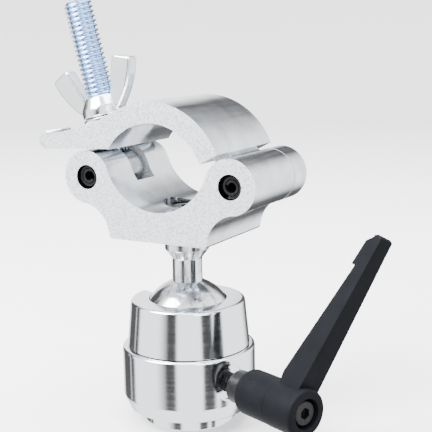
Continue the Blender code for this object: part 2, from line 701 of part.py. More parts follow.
def loft(name, sections):
    """A closed solid through rings of corners."""
    shape = bmesh.new()
    rings = [[shape.verts.new(corner) for corner in section] for section in sections]
    sides = len(sections[0])
    for lower, upper in zip(rings, rings[1:]):
        for i in range(sides):
            j = (i + 1) % sides
            shape.faces.new((lower[i], lower[j], upper[j], upper[i]))
    shape.faces.new(list(reversed(rings[0])))
    shape.faces.new(rings[-1])
    bmesh.ops.recalc_face_normals(shape, faces=shape.faces)
    mesh = bpy.data.meshes.new(name)
    shape.to_mesh(mesh)
    shape.free()
    obj = bpy.data.objects.new(name, mesh)
    CUTTERS.objects.link(obj)
    return register(obj, CUTTERS)


def arm_frame():
    """The arm's axes as a matrix: sideways, away from the housing, along."""
    upright = Vector((0.0, 0.0, 1.0)) * math.cos(ARM_TURN) + LEVER_SIDE * math.sin(ARM_TURN)
    along = upright * math.cos(ARM_FLARE) + LEVER_DIR * math.sin(ARM_FLARE)
    sideways = along.cross(LEVER_DIR).normalized()
    outward = sideways.cross(along).normalized()
    return Matrix((sideways, outward, along)).transposed().to_4x4()


def make_arm():
    """Tapered arm, trimmed flush with the head, with a thumb pad on the tip's inner side."""
    top = ARM_LENGTH
    arm = loft("join_arm", [arm_section(0.0034, arm_depth(0.0034)), arm_section(top - 0.0008, arm_depth(top)),
                            arm_section(top, arm_depth(top) - 0.0008, 0.0008)])
    low = top - 0.0148
    pad = loft("join_pad", [arm_section(low, 0.0046, 0.0006, 0.0033),
                            arm_section(top - 0.0042, 0.0046, 0.0006, 0.0024),
                            arm_section(top - 0.0006, 0.0042, 0.0010, -0.0004)])
    join_on(arm, pad)
    arm.data.transform(Matrix.Translation(on_lever(ARM_D)) @ arm_frame())
    trim = cylinder("cut_trim", 0.0500, on_lever(HEAD_D - 0.0300), on_lever(HEAD_D + 0.0012), 24)
    return cut_away(arm, trim)


def make_lever_handle():
    """Head with a counterbore, a serrated neck and the arm."""
    profile = [(0.0062, LEVER_END_D), (HUB_R - 0.0012, LEVER_END_D), (HUB_R + 0.0002, LEVER_END_D - 0.0014),
               (HUB_R + 0.0002, HEAD_D + 0.0004), (HUB_R - 0.0002, HEAD_D), (0.0032, HEAD_D),
               (0.0032, 0.0612), (0.0062, 0.0612)]
    head = lever_round("lever_handle", profile, CHARCOAL, 44)
    neck = spline_bar("join_neck_teeth", 0.0065, 0.0072, 0.0555, 0.0600)
    join_on(head, make_arm(), neck)
    bore = cylinder("cut_screw_bore", 0.0032, on_lever(0.0500), on_lever(0.0640), 28)
    counterbore = cylinder("cut_counterbore", 0.0062, on_lever(0.0612), on_lever(0.0850), 36)
    return finish(cut_away(head, bore, counterbore), HANDLE)


def make_lever_screw():
    """Retaining screw with a hexagon socket."""
    profile = [(0.0, 0.0734), (0.0048, 0.0734), (0.0053, 0.0728), (0.0053, 0.0694), (0.0025, 0.0694),
               (0.0025, 0.0388), (0.0, 0.0388)]
    screw_obj = solid_round("lever_screw", profile, BLACK_STEEL, 30)
    socket = bpy.data.meshes.new("cut_hex")
    shape = bmesh.new()
    bmesh.ops.create_cone(shape, cap_ends=True, segments=6, radius1=0.0024, radius2=0.0024, depth=0.0060)
    shape.to_mesh(socket)
    shape.free()
    cutter = register(bpy.data.objects.new("cut_hex", socket), CUTTERS)
    lay(cutter, on_lever(0.0741), LEVER_DIR)
    return finish(cut_away(screw_obj, cutter), LEVER)


def make_lever_spring():
    """Compression spring between the handle's web and the screw's head."""
    coil_r, wire_r = 0.0045, 0.00055
    low, high, turns, per_turn = 0.0615 + wire_r, 0.0691 - wire_r, 4, 14
    curve = bpy.data.curves.new("lever_spring", "CURVE")
    curve.dimensions = "3D"
    curve.bevel_depth = wire_r
    curve.bevel_resolution = 1
    curve.use_fill_caps = True
    spline = curve.splines.new("POLY")
    count = turns * per_turn
    spline.points.add(count)
    for i, point in enumerate(spline.points):
        angle = 2 * math.pi * i / per_turn
        point.co = (coil_r * math.cos(angle), coil_r * math.sin(angle), low + (high - low) * i / count, 1.0)
    coil = bpy.data.objects.new("lever_spring_wire", curve)
    bpy.context.scene.collection.objects.link(coil)
    bpy.context.view_layer.update()
    graph = bpy.context.evaluated_depsgraph_get()
    mesh = bpy.data.meshes.new_from_object(coil.evaluated_get(graph))
    bpy.data.objects.remove(coil, do_unlink=True)
    shape = bmesh.new()
    shape.from_mesh(mesh)
    bmesh.ops.remove_doubles(shape, verts=shape.verts, dist=0.000001)
    bmesh.ops.recalc_face_normals(shape, faces=shape.faces)
    shape.to_mesh(mesh)
    shape.free()
    mesh.materials.clear()
    spring = bpy.data.objects.new("lever_spring", mesh)
    PARTS.objects.link(spring)
    register(spring, PARTS, BRIGHT_ZINC)
    lay(spring, on_lever(0.0), LEVER_DIR)
    return finish(spring, LEVER)


# ---------------------------------------------------------------- joints and assembly
TILT = pivot("ball_tilt", BALL, LEVER_SIDE)
CLAMP = pivot("clamp_swivel", BALL, (0, 0, 1), TILT)
JAW = pivot("jaw_hinge", RIGHT_PIN, (0, 1, 0), CLAMP)
BOLT = pivot("bolt_hinge", LEFT_PIN, (0, 1, 0), CLAMP)
TRAVEL = pivot("nut_travel", on_bolt(SEAT_D), BOLT_DIR, BOLT)
NUT = pivot("nut_spin", on_bolt(NUT_D), BOLT_DIR, TRAVEL)
PAD = pivot("pad_travel", on_lever(0.0200), LEVER_DIR)
LEVER = pivot("lever_turn", on_lever(0.0300), LEVER_DIR, PAD)
HANDLE = pivot("handle_lift", on_lever(HEAD_D), LEVER_DIR, LEVER)

make_housing()
make_base_plug()
make_disc_spring()
make_lower_seat()
make_cap()
make_upper_seat()
make_ball_stud()
make_saddle()
make_saddle_screw()
make_lock_washer()
make_spring_pin("hinge_pin", RIGHT_PIN, 250.0, CLAMP)
make_spring_pin("bolt_pin", LEFT_PIN, 60.0, CLAMP)
make_upper_jaw()
make_swing_bolt()
make_washer()
make_wing_nut()
make_pressure_pad()
make_lever_stud()
make_lever_collar()
make_lever_hub()
make_lever_handle()
make_lever_screw()
make_lever_spring()
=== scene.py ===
"""Looks of the tube clamp on a ball head: finished pieces that stand in for the plain CAD ones.

Everything is in metres. The housing stands on z = 0, the clamped tube runs along Y and the
wing bolt is on the -X side.
"""
import math

import bmesh
import bpy
from mathutils import Matrix, Vector


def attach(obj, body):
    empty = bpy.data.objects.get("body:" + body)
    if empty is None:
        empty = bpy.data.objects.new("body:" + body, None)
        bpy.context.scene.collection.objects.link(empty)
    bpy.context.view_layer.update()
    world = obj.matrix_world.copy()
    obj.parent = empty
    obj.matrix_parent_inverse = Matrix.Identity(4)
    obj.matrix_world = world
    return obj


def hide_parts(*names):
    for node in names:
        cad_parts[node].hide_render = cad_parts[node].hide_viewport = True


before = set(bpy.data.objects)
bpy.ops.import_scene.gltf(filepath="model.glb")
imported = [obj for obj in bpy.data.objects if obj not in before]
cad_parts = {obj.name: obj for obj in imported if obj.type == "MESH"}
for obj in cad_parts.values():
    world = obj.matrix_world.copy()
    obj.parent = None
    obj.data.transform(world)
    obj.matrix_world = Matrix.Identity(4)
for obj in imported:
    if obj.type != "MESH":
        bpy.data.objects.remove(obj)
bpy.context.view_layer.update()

# ---------------------------------------------------------------- dimensions, as in the CAD
GAP = 0.0003                      # play between touching pieces
BORE_Z = 0.1212                   # height of the tube's centre
BORE_R = 0.0255
HALF = 0.0240                     # half the clamp's length along the tube
PIN_X = 0.0345                    # pins left and right of the tube's centre
PIN_DROP = 0.0127                 # pins below the tube's centre
PIN_R = 0.0049
EAR_R = 0.0114                    # round ears and hinge lugs
BASE_DROP = 0.0383                # flat underside of the saddle below the tube's centre
BASE_HALF = 0.0237
FLANK_R = 0.0141                  # concave flanks between the ears and the underside
KNUCKLE_HALF = 0.0125
SLOT_HALF = 0.0068                # half the width of the slots that the bolt swings in
SEAM_DROP = 0.0118                # where the saddle's bore ends below the tube's centre
JAW_CX = -0.0020                  # centre of the jaw's arc while the clamp is shut
JAW_DROP = 0.0138
JAW_IN_R = 0.0250
JAW_OUT_R = 0.0339
TONGUE_END = -0.0594
TONGUE_TIP_R = 0.0038
SLOT_ROOT = -0.0290
EDGE_BREAK = 0.00022              # broken edges of the sawn pieces
BOLT_LEAN = math.radians(15.0)
BOLT_R = 0.00630
BOLT_LENGTH = 0.0763              # from the eye's centre to the tip
PITCH = 0.0021167                 # 12 threads to the inch
THREAD_DEPTH = 0.00125
EYE_R = 0.0094
EYE_HALF = 0.0062
BARE_NECK = 0.0040                # unplated steel past the eye
SEAT_D = 0.0222                   # washer's underside from the eye's centre
WASHER_R = 0.0100
WASHER_T = 0.0020
NUT_D = SEAT_D + WASHER_T + GAP
NUT_H = 0.0094
NUT_R = 0.0099
NUT_TURN = math.radians(6.0)
WING_HALF = 0.0029
BALL_Z = 0.0432
BALL_R = 0.0199
STEM_R = 0.00655
STEM_BORE_R = 0.0043              # hole down the stem for the saddle's screw
FLANGE_R = 0.0097
RECESS_R = 0.0098                 # counterbore in the saddle for the screw's head
RECESS_DROP = 0.0334
HEAD_DROP = 0.0313                # underside of the screw's head below the tube's centre
HOUSING_R = 0.0292
HOUSING_BOTTOM = 0.0064
HOUSING_TOP = 0.0337
HOUSING_BORE_R = 0.0205
CAP_BOTTOM_R = 0.0268
CAP_TOP_R = 0.0250
CAP_TOP = 0.0541
CAP_MOUTH_R = 0.0171
PLUG_R = 0.0201
PLUG_THREAD_R = 0.0044
NOTCH_HALF = 0.0072               # drop notch that the stem lies down in
LEVER_AZIMUTH = math.radians(-21.5)
LEVER_Z = 0.0225
STUD_R = 0.0040
STUD_PITCH = 0.00125
COLLAR_R = 0.0071
HUB_R = 0.0096
COLLAR_D = 0.0338                 # distances along the lever's axis from the ball's axis
HUB_D = 0.0412
HEAD_D = 0.0593
LEVER_END_D = 0.0745
ARM_D = 0.0695                    # where the arm's outer face meets the lever's axis
ARM_LENGTH = 0.0755
ARM_HALF = 0.00575                # half the arm's width at its root
ARM_TAPER = 0.030                 # narrowing of that half-width along the arm
ARM_ROOT_DEPTH = 0.0128
ARM_DEPTH_TAPER = 0.119
ARM_TURN = math.radians(25.8)     # arm swung sideways from upright
ARM_FLARE = math.radians(12.5)    # arm inclined away from the housing

BALL = Vector((0.0, 0.0, BALL_Z))
LEVER_DIR = Vector((math.cos(LEVER_AZIMUTH), math.sin(LEVER_AZIMUTH), 0.0))
LEVER_SIDE = Vector((-LEVER_DIR.y, LEVER_DIR.x, 0.0))
LEFT_PIN = Vector((-PIN_X, 0.0, BORE_Z - PIN_DROP))
RIGHT_PIN = Vector((PIN_X, 0.0, BORE_Z - PIN_DROP))
BOLT_DIR = Vector((-math.sin(BOLT_LEAN), 0.0, math.cos(BOLT_LEAN)))
ACROSS = Vector((0.0, 1.0, 0.0))
SCENE = bpy.context.scene.collection


# ---------------------------------------------------------------- shape tools
def new_object(name, mesh):
    obj = bpy.data.objects.new(name, mesh)
    SCENE.objects.link(obj)
    return obj


def bake(obj):
    """Apply the modifiers and the transform to the mesh."""
    bpy.context.view_layer.update()
    graph = bpy.context.evaluated_depsgraph_get()
    mesh = bpy.data.meshes.new_from_object(obj.evaluated_get(graph))
    mesh.transform(obj.matrix_world)
    obj.modifiers.clear()
    obj.matrix_world = Matrix.Identity(4)
    old = obj.data
    obj.data = mesh
    if old.users == 0:
        bpy.data.meshes.remove(old)
    return obj


def from_bmesh(name, shape):
    mesh = bpy.data.meshes.new(name)
    shape.to_mesh(mesh)
    shape.free()
    return new_object(name, mesh)


def turned(name, profile, steps=96):
    """A solid of revolution about Z from a (radius, height) profile. The profile is closed
    into a ring when none of its points is on the axis."""
    mesh = bpy.data.meshes.new(name)
    edges = [(i, i + 1) for i in range(len(profile) - 1)]
    if all(radius > 1e-7 for radius, _ in profile):
        edges.append((len(profile) - 1, 0))
    mesh.from_pydata([(radius, 0.0, height) for radius, height in profile], edges, [])
    obj = new_object(name, mesh)
    turn = obj.modifiers.new("turn", "SCREW")
    turn.steps = turn.render_steps = steps
    turn.use_merge_vertices = True
    turn.merge_threshold = 0.00001
    bake(obj)
    shape = bmesh.new()
    shape.from_mesh(obj.data)
    bmesh.ops.recalc_face_normals(shape, faces=shape.faces)
    shape.to_mesh(obj.data)
    shape.free()
    return obj


def plate(name, outline, half_width, holes=()):
    """An outline in the XZ plane, extruded by half_width each way along Y."""
    curve = bpy.data.curves.new(name, "CURVE")
    curve.dimensions = "2D"
    curve.fill_mode = "BOTH"
    curve.extrude = half_width
    for loop in (outline, *holes):
        spline = curve.splines.new("POLY")
        spline.points.add(len(loop) - 1)
        for point, (x, z) in zip(spline.points, loop):
            point.co = (x, z, 0.0, 1.0)
        spline.use_cyclic_u = True
    flat = bpy.data.objects.new(name + "_outline", curve)
    flat.rotation_euler = (math.radians(90.0), 0.0, 0.0)
    SCENE.objects.link(flat)
    bpy.context.view_layer.update()
    graph = bpy.context.evaluated_depsgraph_get()
    mesh = bpy.data.meshes.new_from_object(flat.evaluated_get(graph))
    mesh.transform(flat.matrix_world)
    bpy.data.objects.remove(flat, do_unlink=True)
    shape = bmesh.new()
    shape.from_mesh(mesh)
    bmesh.ops.remove_doubles(shape, verts=shape.verts, dist=0.000001)
    bmesh.ops.dissolve_limit(shape, angle_limit=math.radians(0.5), verts=shape.verts,
                             edges=shape.edges)
    bmesh.ops.recalc_face_normals(shape, faces=shape.faces)
    return from_bmesh(name, shape)


def cylinder(name, radius, start, end, segments=64):
    start, end = Vector(start), Vector(end)
    shape = bmesh.new()
    bmesh.ops.create_cone(shape, cap_ends=True, segments=segments, radius1=radius, radius2=radius,
                          depth=(end - start).length)
    obj = from_bmesh(name, shape)
    turn = (end - start).to_track_quat("Z", "Y").to_matrix().to_4x4()
    obj.data.transform(Matrix.Translation((start + end) / 2) @ turn)
    return obj


def on_pin(name, radius, pin, half_width, segments):
    """A cylinder on a pin's axis, half_width each way along Y."""
    return cylinder(name, radius, pin - ACROSS * half_width, pin + ACROSS * half_width, segments)


def combine(obj, operation, *others):
    """Apply a Boolean with each of the other shapes, and drop them."""
    for other in others:
        step = obj.modifiers.new(other.name, "BOOLEAN")
        step.operation = operation
        step.solver = "EXACT"
        step.object = other
    bake(obj)
    for other in others:
        bpy.data.objects.remove(other, do_unlink=True)
    shape = bmesh.new()
    shape.from_mesh(obj.data)
    bmesh.ops.remove_doubles(shape, verts=shape.verts, dist=0.000004)
    bmesh.ops.dissolve_degenerate(shape, dist=0.000001, edges=shape.edges)
    shape.to_mesh(obj.data)
    shape.free()
    return obj


def cut(obj, *others):
    return combine(obj, "DIFFERENCE", *others)


def join(obj, *others):
    return combine(obj, "UNION", *others)


def bevel(obj, width, segments=3, angle=35.0):
    edge = obj.modifiers.new("bevel", "BEVEL")
    edge.width = width
    edge.segments = segments
    edge.limit_method = "ANGLE"
    edge.angle_limit = math.radians(angle)
    edge.miter_outer = "MITER_ARC"
    return bake(obj)


def arc(cx, cz, radius, start, end, count):
    angles = [math.radians(start + (end - start) * i / count) for i in range(count + 1)]
    return [(cx + radius * math.cos(a), cz + radius * math.sin(a)) for a in angles]


def circle(cx, cz, radius):
    return arc(cx, cz, radius, 0.0, 360.0, 64)[:-1]


def rounded(profile, radius, indices, count=5):
    """Round the corners of a (radius, height) profile that the indices name."""
    result = []
    for i, point in enumerate(profile):
        if i not in indices:
            result.append(point)
            continue
        here = Vector(point)
        before = Vector(profile[i - 1]) - here
        after = Vector(profile[(i + 1) % len(profile)]) - here
        reach = min(radius, before.length * 0.49, after.length * 0.49)
        first, last = here + before.normalized() * reach, here + after.normalized() * reach
        for k in range(count + 1):
            t = k / count
            spot = first * (1 - t) ** 2 + here * 2 * t * (1 - t) + last * t ** 2
            result.append((spot.x, spot.y))
    return result


def lay(obj, origin, direction):
    turn = Vector(direction).to_track_quat("Z", "Y").to_matrix().to_4x4()
    obj.data.transform(Matrix.Translation(origin) @ turn)
    return obj


def on_lever(distance):
    return LEVER_DIR * distance + Vector((0.0, 0.0, LEVER_Z))


def on_bolt(distance):
    return LEFT_PIN + BOLT_DIR * distance


def finish(obj, material, body, nodes, angle=32.0):
    """Shade, give the finish and hang the piece on its body in place of its CAD nodes."""
    mats = material if isinstance(material, list) else [material]
    indices = [face.material_index if len(mats) > 1 else 0 for face in obj.data.polygons]
    obj.data.materials.clear()
    for mat in mats:
        obj.data.materials.append(mat)
    obj.data.polygons.foreach_set("material_index", indices)
    obj.data.shade_smooth()
    obj.data.set_sharp_from_angle(angle=math.radians(angle))
    even = obj.modifiers.new("even_normals", "WEIGHTED_NORMAL")
    even.keep_sharp = True
    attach(obj, body)
    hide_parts(*nodes)
    return obj


def mark_end_faces(obj):
    """Give the faces that look along Y the second finish."""
    for face in obj.data.polygons:
        if abs(face.normal.y) > 0.97:
            face.material_index = 1


# ---------------------------------------------------------------- finishes
class Finish:
    """A Principled material with room for a few procedural layers."""

    def __init__(self, name, colour, metallic, roughness):
        self.material = bpy.data.materials.new(name)
        self.material.use_nodes = True
        self.tree = self.material.node_tree
        self.shader = self.tree.nodes["Principled BSDF"]
        self.shader.inputs["Base Color"].default_value = (*colour, 1.0)
        self.shader.inputs["Metallic"].default_value = metallic
        self.shader.inputs["Roughness"].default_value = roughness
        self.coords = self.tree.nodes.new("ShaderNodeTexCoord").outputs["Object"]
        self.normal = None

    def noise(self, scale, stretch=(1.0, 1.0, 1.0), detail=4.0, rough=0.55, vector=None):
        mapping = self.tree.nodes.new("ShaderNodeMapping")
        mapping.inputs["Scale"].default_value = stretch
        self.tree.links.new(vector or self.coords, mapping.inputs["Vector"])
        node = self.tree.nodes.new("ShaderNodeTexNoise")
        node.inputs["Scale"].default_value = scale
        node.inputs["Detail"].default_value = detail
        node.inputs["Roughness"].default_value = rough
        self.tree.links.new(mapping.outputs["Vector"], node.inputs["Vector"])
        return node.outputs["Fac"]

    def ramp(self, source, stops):
        node = self.tree.nodes.new("ShaderNodeValToRGB")
        elements = node.color_ramp.elements
        while len(elements) < len(stops):
            elements.new(0.5)
        for element, (place, colour) in zip(elements, stops):
            element.position = place
            element.color = (*colour, 1.0)
        self.tree.links.new(source, node.inputs["Fac"])
        return node.outputs["Color"]

    def spread(self, source, low, high, from_low=0.3, from_high=0.7):
        node = self.tree.nodes.new("ShaderNodeMapRange")
        node.inputs["From Min"].default_value = from_low
        node.inputs["From Max"].default_value = from_high
        node.inputs["To Min"].default_value = low
        node.inputs["To Max"].default_value = high
        self.tree.links.new(source, node.inputs["Value"])
        return node.outputs["Result"]

    def set(self, socket, source):
        self.tree.links.new(source, self.shader.inputs[socket])

    def bump(self, source, strength, distance):
        node = self.tree.nodes.new("ShaderNodeBump")
        node.inputs["Strength"].default_value = strength
        node.inputs["Distance"].default_value = distance
        self.tree.links.new(source, node.inputs["Height"])
        if self.normal is not None:
            self.tree.links.new(self.normal, node.inputs["Normal"])
        self.normal = node.outputs["Normal"]
        self.tree.links.new(self.normal, self.shader.inputs["Normal"])

    def round_coords(self):
        """Coordinates that run only outwards from Z and along it, for turning marks."""
        split = self.tree.nodes.new("ShaderNodeSeparateXYZ")
        self.tree.links.new(self.coords, split.inputs["Vector"])
        flat = self.tree.nodes.new("ShaderNodeCombineXYZ")
        self.tree.links.new(split.outputs["X"], flat.inputs["X"])
        self.tree.links.new(split.outputs["Y"], flat.inputs["Y"])
        length = self.tree.nodes.new("ShaderNodeVectorMath")
        length.operation = "LENGTH"
        self.tree.links.new(flat.outputs["Vector"], length.inputs[0])
        joined = self.tree.nodes.new("ShaderNodeCombineXYZ")
        self.tree.links.new(length.outputs["Value"], joined.inputs["X"])
        self.tree.links.new(split.outputs["Z"], joined.inputs["Z"])
        return joined.outputs["Vector"]


def sawn_finish():
    """Cut aluminium end face: pale and matt, with fine speckle and faint saw lines."""
    f = Finish("sawn_face", (0.86, 0.865, 0.875), 0.45, 0.50)
    grain = f.noise(1050.0, detail=4.0, rough=0.7)
    cloud = f.noise(160.0, detail=2.0)
    f.set("Base Color", f.ramp(f.spread(grain, 0.0, 1.0, 0.36, 0.60),
                               [(0.0, (0.40, 0.43, 0.47)), (0.5, (0.62, 0.65, 0.69)),
                                (1.0, (0.80, 0.83, 0.87))]))
    f.set("Roughness", f.spread(cloud, 0.42, 0.55))
    f.bump(grain, 0.10, 0.0001)
    f.bump(f.noise(900.0, (1.0, 1.0, 0.08), 2.0), 0.06, 0.0001)
    return f.material


def extruded_finish():
    """Extruded and brushed aluminium skin with fine lines along the tube's direction."""
    f = Finish("extruded_skin", (0.80, 0.81, 0.83), 1.0, 0.24)
    lines = f.noise(1800.0, (1.0, 0.02, 1.0), 2.0)
    cloud = f.noise(110.0, detail=3.0)
    f.set("Base Color", f.ramp(f.spread(cloud, 0.0, 1.0),
                               [(0.0, (0.58, 0.61, 0.65)), (1.0, (0.80, 0.83, 0.87))]))
    f.set("Roughness", f.spread(lines, 0.13, 0.21))
    f.bump(lines, 0.02, 0.00005)
    f.bump(f.noise(1500.0, detail=2.0), 0.03, 0.0001)
    return f.material


def polished_finish():
    """Turned and buffed aluminium with faint turning marks and a little orange peel."""
    f = Finish("polished_turning", (0.84, 0.87, 0.91), 1.0, 0.07)
    marks = f.noise(900.0, detail=3.0, vector=f.round_coords())
    f.set("Roughness", f.spread(marks, 0.08, 0.16))
    f.bump(f.noise(1500.0, detail=3.0), 0.05, 0.0001)
    f.bump(marks, 0.02, 0.00008)
    return f.material


def chrome_finish():
    """Chromed ball and stem with light contact marks."""
    f = Finish("bright_chrome", (0.88, 0.89, 0.90), 1.0, 0.05)
    marks = f.noise(260.0, (1.0, 1.0, 0.45), 5.0, 0.65)
    f.set("Roughness", f.spread(marks, 0.05, 0.26, 0.42, 0.62))
    f.set("Base Color", f.ramp(f.spread(marks, 0.0, 1.0, 0.42, 0.62),
                               [(0.0, (0.80, 0.83, 0.87)), (1.0, (0.34, 0.35, 0.37))]))
    f.bump(f.noise(1100.0, detail=3.0), 0.03, 0.0001)
    return f.material


def zinc_finish(name, colour, dull, roughness):
    """Plated or bare steel that clouds between two tones."""
    f = Finish(name, colour, 1.0, roughness)
    cloud = f.noise(240.0, detail=4.0)
    f.set("Base Color", f.ramp(f.spread(cloud, 0.0, 1.0), [(0.0, dull), (1.0, colour)]))
    f.set("Roughness", f.spread(f.noise(700.0, detail=3.0), roughness - 0.05, roughness + 0.10))
    f.bump(f.noise(1300.0, detail=3.0), 0.06, 0.0001)
    return f.material


def black_finish():
    """Blackened steel with a cloudy sheen."""
    f = Finish("black_oxide", (0.022, 0.022, 0.024), 0.7, 0.36)
    cloud = f.noise(420.0, detail=4.0)
    f.set("Base Color", f.ramp(f.spread(cloud, 0.0, 1.0),
                               [(0.0, (0.006, 0.006, 0.007)), (1.0, (0.018, 0.018, 0.020))]))
    f.set("Roughness", f.spread(cloud, 0.28, 0.46))
    f.bump(f.noise(1800.0, detail=2.0), 0.06, 0.0001)
    return f.material


def coat_finish():
    """Fine-textured dark grey powder coat."""
    f = Finish("powder_coat", (0.014, 0.015, 0.017), 0.0, 0.46)
    grain = f.noise(2600.0, detail=3.0)
    cloud = f.noise(120.0, detail=3.0)
    f.set("Base Color", f.ramp(f.spread(cloud, 0.0, 1.0),
                               [(0.0, (0.0062, 0.0068, 0.0084)), (1.0, (0.0084, 0.0091, 0.0110))]))
    f.set("Roughness", f.spread(grain, 0.40, 0.54))
    f.shader.inputs["Specular IOR Level"].default_value = 0.03
    f.bump(grain, 0.12, 0.0001)
    return f.material


def plain_finish(name, colour, metallic, roughness):
    """One colour with a fine grain, for the parts inside."""
    f = Finish(name, colour, metallic, roughness)
    grain = f.noise(900.0, detail=3.0)
    f.set("Roughness", f.spread(grain, roughness - 0.06, roughness + 0.08))
    f.bump(grain, 0.08, 0.0001)
    return f.material


SAWN = sawn_finish()
SKIN = extruded_finish()
POLISHED = polished_finish()
CHROME = chrome_finish()
BLUE_ZINC = zinc_finish("blue_zinc_plate", (0.46, 0.62, 0.86), (0.36, 0.52, 0.76), 0.20)
BRIGHT_ZINC = zinc_finish("bright_zinc_plate", (0.78, 0.82, 0.84), (0.68, 0.72, 0.74), 0.16)
DULL_STEEL = zinc_finish("dull_forged_steel", (0.42, 0.44, 0.47), (0.25, 0.26, 0.28), 0.22)
BLACK = black_finish()
COAT = coat_finish()
NYLON = plain_finish("seat_nylon", (0.80, 0.79, 0.74), 0.0, 0.5)
BRASS = plain_finish("seat_brass", (0.80, 0.62, 0.28), 1.0, 0.3)
SPRING = plain_finish("spring_wire", (0.75, 0.76, 0.78), 1.0, 0.25)


# ---------------------------------------------------------------- housing and ball
def make_housing():
    foot_r, foot_top = 0.0268, 0.0124
    ring_r, ring_top = 0.0178, 0.0112
    ledge_r, ledge_z = 0.0240, 0.0275
    shoulder_in = HOUSING_R - 0.0030
    spot_r, spot_floor = 0.0079, 0.0272
    profile = rounded([(shoulder_in, HOUSING_TOP), (HOUSING_R, HOUSING_TOP), (HOUSING_R, foot_top),
                       (foot_r, HOUSING_BOTTOM), (ring_r, HOUSING_BOTTOM), (ring_r, ring_top),
                       (HOUSING_BORE_R, ring_top), (HOUSING_BORE_R, ledge_z), (ledge_r, ledge_z),
                       (ledge_r, HOUSING_TOP)], 0.0018, (1,), 8)
    foot = len(profile) - 8
    profile = rounded(profile, 0.0006, (foot, foot + 1), 4)
    shell = turned("housing_shell", profile, 160)
    spot = cylinder("spot_face", spot_r, on_lever(spot_floor), on_lever(0.0330), 80)
    hole = cylinder("lever_hole", STUD_R + GAP, on_lever(0.0180), on_lever(0.0300), 48)
    cut(shell, spot, hole)
    finish(shell, POLISHED, "base", ["housing"], 26.0)


def make_base_plug():
    neck_r, top, chamfer = 0.0174, 0.0116, 0.0006
    profile = rounded([(neck_r, top), (neck_r, HOUSING_BOTTOM - GAP), (PLUG_R, HOUSING_BOTTOM - GAP),
                       (PLUG_R, 0.0), (PLUG_THREAD_R + chamfer, 0.0), (PLUG_THREAD_R, chamfer),
                       (PLUG_THREAD_R, top)], 0.0006, (2, 3), 4)
    plug = turned("base_ring", profile, 128)
    finish(plug, POLISHED, "base", ["base_plug"], 26.0)


def notch_cutter(name):
    """A round-bottomed slot from the ball's centre outwards, on the side away from the lever."""
    rise, half_length = 0.0300, 0.0200
    outline = [*arc(0.0, 0.0, NOTCH_HALF, 180.0, 360.0, 32), (NOTCH_HALF, rise), (-NOTCH_HALF, rise)]
    slot = plate(name, outline, half_length)
    slot.data.transform(Matrix.Translation((0.0, half_length, 0.0)))
    turn = Matrix.Rotation(LEVER_AZIMUTH + math.radians(90.0), 4, "Z")
    slot.data.transform(Matrix.Translation(BALL) @ turn)
    return slot


def make_cap():
    spigot_r, spigot_end = 0.0237, 0.0285
    groove_r, groove_low, groove_high = 0.0218, 0.0462, 0.0512
    profile = rounded([(CAP_MOUTH_R, CAP_TOP), (CAP_TOP_R, CAP_TOP), (CAP_BOTTOM_R, 0.0345),
                       (CAP_BOTTOM_R, HOUSING_TOP + GAP), (spigot_r, HOUSING_TOP + GAP),
                       (spigot_r, spigot_end), (0.0232, 0.0279), (0.0210, 0.0279),
                       (HOUSING_BORE_R, spigot_end), (HOUSING_BORE_R, groove_low),
                       (groove_r, groove_low), (groove_r, groove_high), (0.0187, groove_high),
                       (0.0176, 0.0532)], 0.0016, (1,), 8)
    shell = turned("cap_shell", profile, 160)
    cut(shell, notch_cutter("drop_notch"))
    finish(shell, POLISHED, "base", ["cap"], 26.0)


def make_ball_stud():
    top = BORE_Z - BASE_DROP - GAP
    flange_low, cone_low = 0.0763, 0.0722
    neck_rise = math.sqrt(BALL_R ** 2 - STEM_R ** 2)
    neck = math.degrees(math.asin(neck_rise / BALL_R))
    outer = rounded([(STEM_BORE_R, top), (FLANGE_R, top), (FLANGE_R, flange_low), (STEM_R, cone_low),
                     (STEM_R, BALL_Z + neck_rise + 0.0012)], 0.0005, (1, 2, 3), 4)
    ball = arc(0.0, BALL_Z, BALL_R, neck, -90.0, 56)
    ball[-1] = (0.0, BALL_Z - BALL_R)
    profile = [(0.0, 0.0660), (STEM_BORE_R, 0.0680), *outer, *ball]
    stud = turned("ball_and_stem", profile, 120)
    finish(stud, CHROME, "ball", ["ball_stud"], 24.0)


# ---------------------------------------------------------------- clamp
def ear_outline(side):
    """One side of the saddle: from the underside up the concave flank and round the ear."""
    pin_z = BORE_Z - PIN_DROP
    flank_x = BASE_HALF + FLANK_R
    flank_z = BORE_Z - BASE_DROP + 0.0004
    to_ear = math.degrees(math.atan2(pin_z - flank_z, PIN_X - flank_x))
    flank = arc(flank_x, flank_z, FLANK_R, 178.0, to_ear, 28)
    ear = arc(PIN_X, pin_z, EAR_R, to_ear - 180.0, 160.0, 72)
    return [(side * x, z) for x, z in [(BASE_HALF - 0.0008, BORE_Z - BASE_DROP), *flank, *ear[1:]]]


def make_saddle():
    start = math.degrees(math.asin(-SEAM_DROP / BORE_R))
    bore = arc(0.0, BORE_Z, BORE_R, start, -180.0 - start, 96)
    outline = [*ear_outline(1.0), *bore, *reversed(ear_outline(-1.0))]
    holes = [circle(side * PIN_X, BORE_Z - PIN_DROP, PIN_R + GAP) for side in (1.0, -1.0)]
    saddle = plate("saddle_block", outline, HALF, holes)
    cut(saddle,
        on_pin("fork", EAR_R + 0.0007, RIGHT_PIN, KNUCKLE_HALF, 96),
        on_pin("bolt_slot", 0.0146, LEFT_PIN, SLOT_HALF, 96),
        cylinder("recess", RECESS_R, (0, 0, BORE_Z - RECESS_DROP), (0, 0, BORE_Z), 80),
        cylinder("screw_hole", STEM_BORE_R, (0, 0, BORE_Z - 0.0450), (0, 0, BORE_Z - 0.030), 40))
    bevel(saddle, EDGE_BREAK, 2, 38.0)
    mark_end_faces(saddle)
    finish(saddle, [SKIN, SAWN], "clamp", ["saddle"], 25.0)


